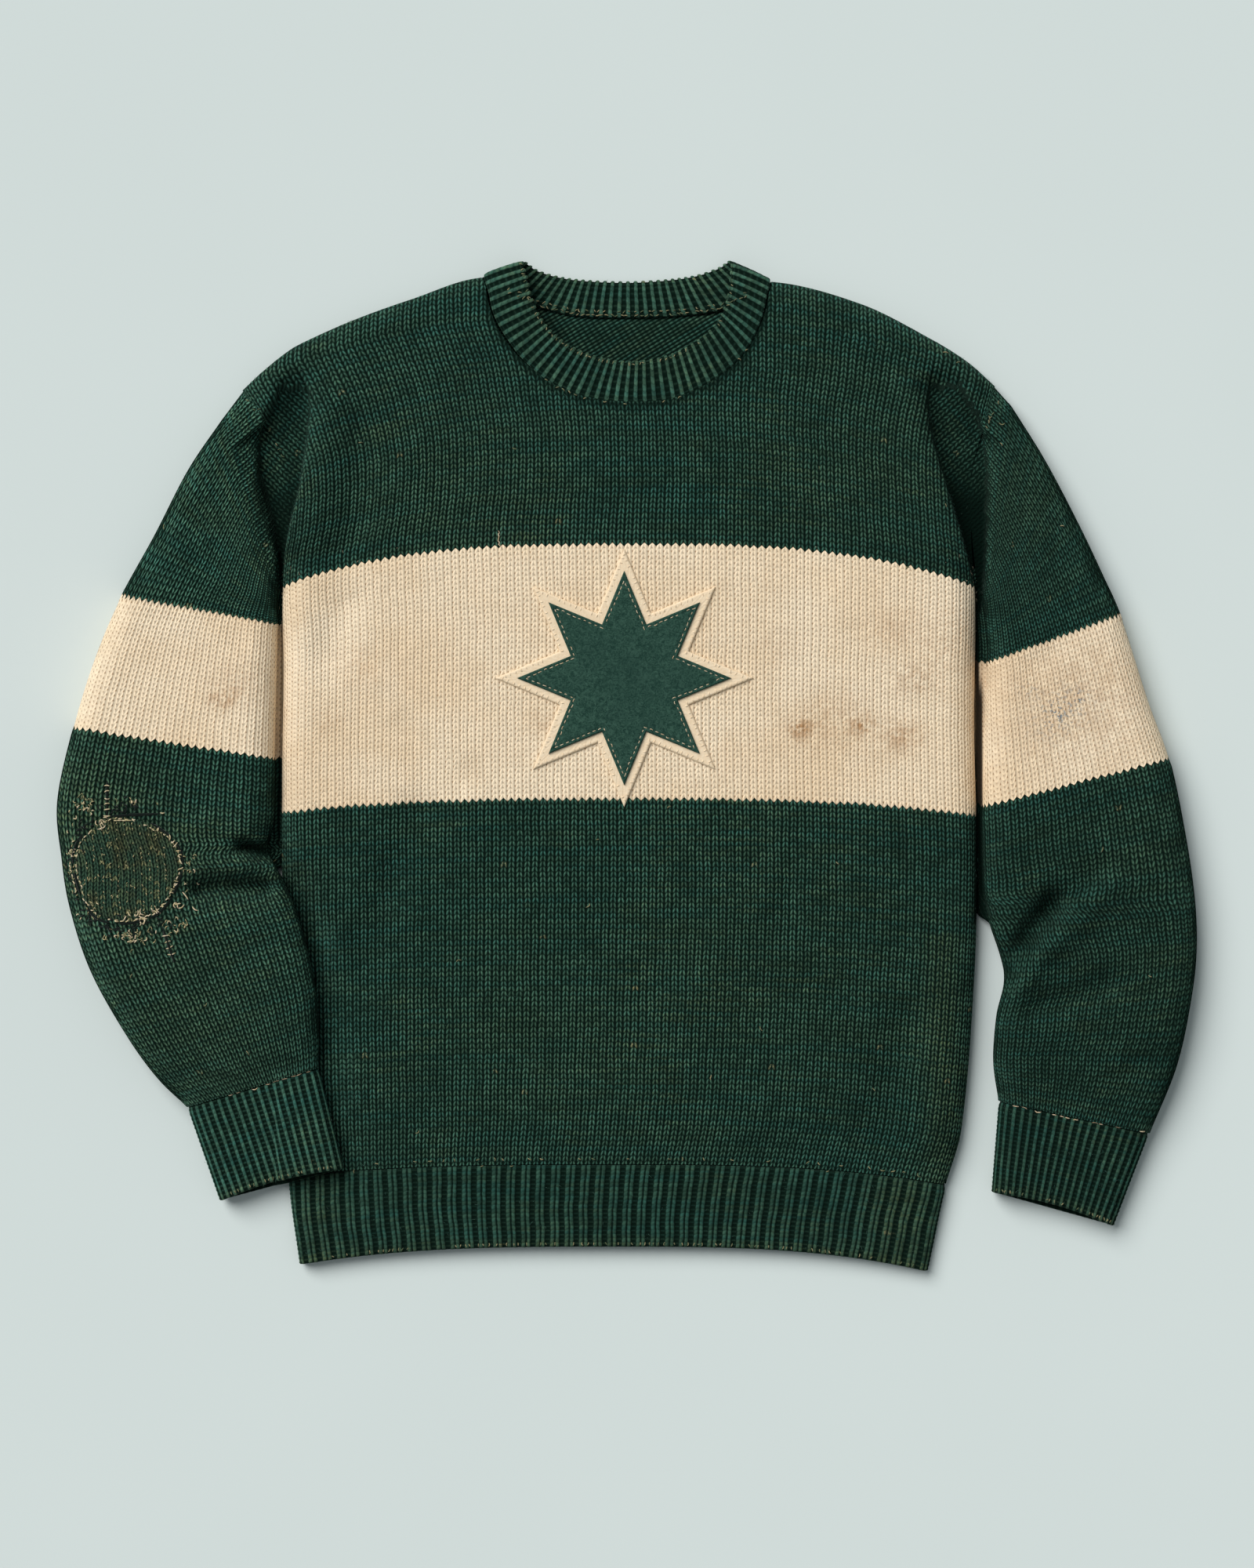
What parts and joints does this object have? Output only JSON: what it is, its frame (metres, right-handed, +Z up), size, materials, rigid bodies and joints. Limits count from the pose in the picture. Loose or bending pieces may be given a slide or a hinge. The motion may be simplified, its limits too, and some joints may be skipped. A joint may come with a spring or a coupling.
{
  "type": "darned wool sweater",
  "caption": "Crew-neck striped wool sweater laid flat, with a sewn felt star on the chest and a darned elbow.",
  "frame": {"origin": "middle of the footprint, on the surface the sweater lies on", "axes": "+X to the right across the chest as seen from above, +Y from the hem to the collar, +Z up"},
  "size_m": [0.814, 0.724, 0.0387],
  "materials": {
    "knit_green_cream": "heathered dark green wool stockinette with a cream stripe, worn",
    "rib_green": "dark green wool rib, worn to gold at the edges",
    "felt_cream": "cream felt, whip-stitched edge",
    "felt_green": "napped dark green felt",
    "darning_wool": "brown-green mending wool with gold flecks",
    "thread_tan": "tan and cream sewing yarn"
  },
  "bodies": {
    "root": {"front_panel": "knit_green_cream", "back_panel": "knit_green_cream", "sleeve_left": "knit_green_cream", "sleeve_right": "knit_green_cream", "cuff_left": "rib_green", "cuff_right": "rib_green", "hem_band": "rib_green", "neckband": "rib_green", "motif_backing": "felt_cream", "motif_felt": "felt_green", "elbow_darn": "darning_wool"}
  },
  "joints": []
}
